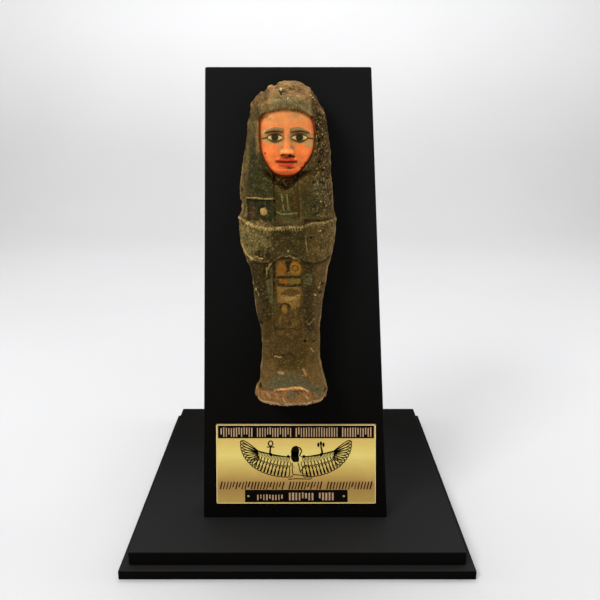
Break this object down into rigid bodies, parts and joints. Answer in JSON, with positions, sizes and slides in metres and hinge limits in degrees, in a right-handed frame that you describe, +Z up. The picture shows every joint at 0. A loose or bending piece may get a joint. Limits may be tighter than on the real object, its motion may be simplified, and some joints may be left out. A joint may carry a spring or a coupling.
{
  "type": "ushabti figurine on a display stand",
  "caption": "Mummiform painted clay figurine fixed to the front of a tapered upright board, above a plain brass plate, on a square two-step base.",
  "frame": {"origin": "centre of the base's underside", "axes": "+Z up; the figurine faces -Y; +X is to the viewer's right"},
  "size_m": [0.2, 0.2, 0.2737],
  "materials": {
    "black_lacquer": "satin black lacquer on fibreboard",
    "engraved_brass": "polished brass with dark etched lines",
    "painted_clay": "worn matt paint over coarse fired clay"
  },
  "bodies": {
    "root": {"base_plate": "black_lacquer", "base_platform": "black_lacquer", "upright_board": "black_lacquer", "brass_plate": "engraved_brass", "figurine": "painted_clay"}
  },
  "joints": []
}
